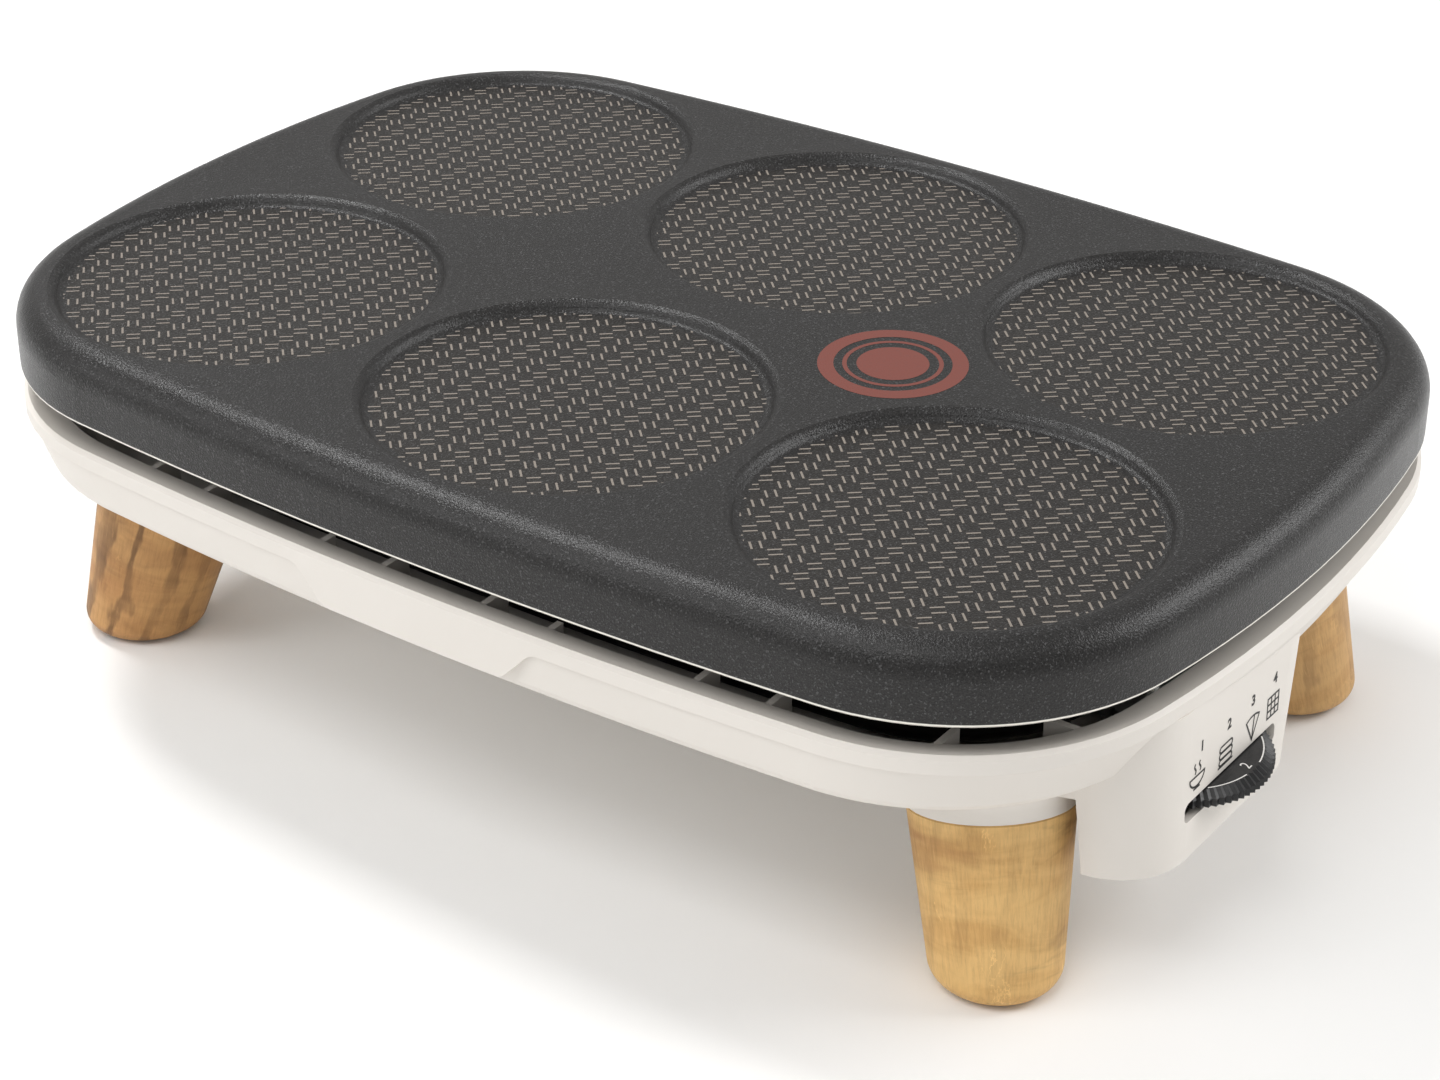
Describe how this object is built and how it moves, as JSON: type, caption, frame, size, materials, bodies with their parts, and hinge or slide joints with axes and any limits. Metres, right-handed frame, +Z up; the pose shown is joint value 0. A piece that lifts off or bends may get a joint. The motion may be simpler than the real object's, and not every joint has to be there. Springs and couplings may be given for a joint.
{
  "type": "electric crepe maker",
  "caption": "Countertop electric crepe griddle: dark lift-off plate with round hollows on a pale shell, splayed wooden legs and a thumbwheel heat dial.",
  "frame": {"origin": "on the ground under the middle of the object's outline, dial wheel included", "axes": "+X along the plate towards the control box and its dial, +Y towards the rear (the apron faces -Y), +Z up"},
  "size_m": [0.4396, 0.3, 0.13],
  "materials": {
    "plate_coating": "dark non-stick coating, fine grain",
    "shell_white": "satin warm white",
    "tray_steel": "heat-darkened sheet",
    "bright_steel": "zinc plated",
    "element_sheath": "dark annealed sheath",
    "bead_ceramic": "unglazed ceramic",
    "blade_brass": "bright",
    "cast_post": "as cast",
    "cap_silicone": "heat-proof silicone",
    "spring_steel": "drawn wire",
    "copper_tube": "drawn copper",
    "thermostat_plastic": "moulded",
    "dial_black": "moulded, white print",
    "lead_insulation": "silicone sleeve",
    "earth_insulation": "green sleeve",
    "gland_plastic": "moulded",
    "leg_wood": "satin lacquer, honey beech",
    "pad_rubber": "matte"
  },
  "bodies": {
    "housing": {"base_shell": "shell_white", "reflector_tray": "tray_steel", "tray_screws": "bright_steel", "heating_element": "element_sheath", "element_beads": "bead_ceramic", "element_terminals": "blade_brass", "element_brackets": "tray_steel", "plate_support_posts": "cast_post", "support_post_caps": "cap_silicone", "sensor_guide": "bright_steel", "sensor_spring": "spring_steel", "capillary_tube": "copper_tube", "thermostat_body": "thermostat_plastic", "thermostat_bracket": "bright_steel", "thermostat_screws": "bright_steel", "thermal_fuse": "bead_ceramic", "fuse_clip": "bright_steel", "terminal_block": "thermostat_plastic", "thermostat_lead": "lead_insulation", "element_lead": "lead_insulation", "return_lead": "lead_insulation", "earth_lead": "earth_insulation", "earth_tag": "blade_brass", "cord_gland": "gland_plastic", "control_box_cover": "shell_white", "cover_screws": "bright_steel", "leg_front_left": "leg_wood", "leg_front_right": "leg_wood", "leg_rear_left": "leg_wood", "leg_rear_right": "leg_wood", "foot_pads": "pad_rubber", "leg_inserts": "blade_brass", "leg_washers": "bright_steel", "leg_screws": "bright_steel"},
    "plate": {"griddle_plate": "plate_coating"},
    "dial": {"dial_wheel": "dial_black", "dial_shaft": "bright_steel"},
    "sensor": {"sensor_plunger": "cast_post"}
  },
  "joints": [
    {"name": "dial_turn", "type": "hinge", "parent": "housing", "child": "dial", "pos_m": [0.1913, -0.0374, 0.0575], "axis": [0, 0, 1], "range_deg": [-100, 100]},
    {"name": "plate_lift", "type": "slide", "parent": "housing", "child": "plate", "axis": [0, 0, 1], "range_m": [0, 0.08]},
    {"name": "sensor_press", "type": "slide", "parent": "housing", "child": "sensor", "axis": [0, 0, 1], "range_m": [-0.003, 0], "stiffness_N_per_m": 400, "springref_m": 0.002, "deforming": ["sensor_spring"]}
  ]
}
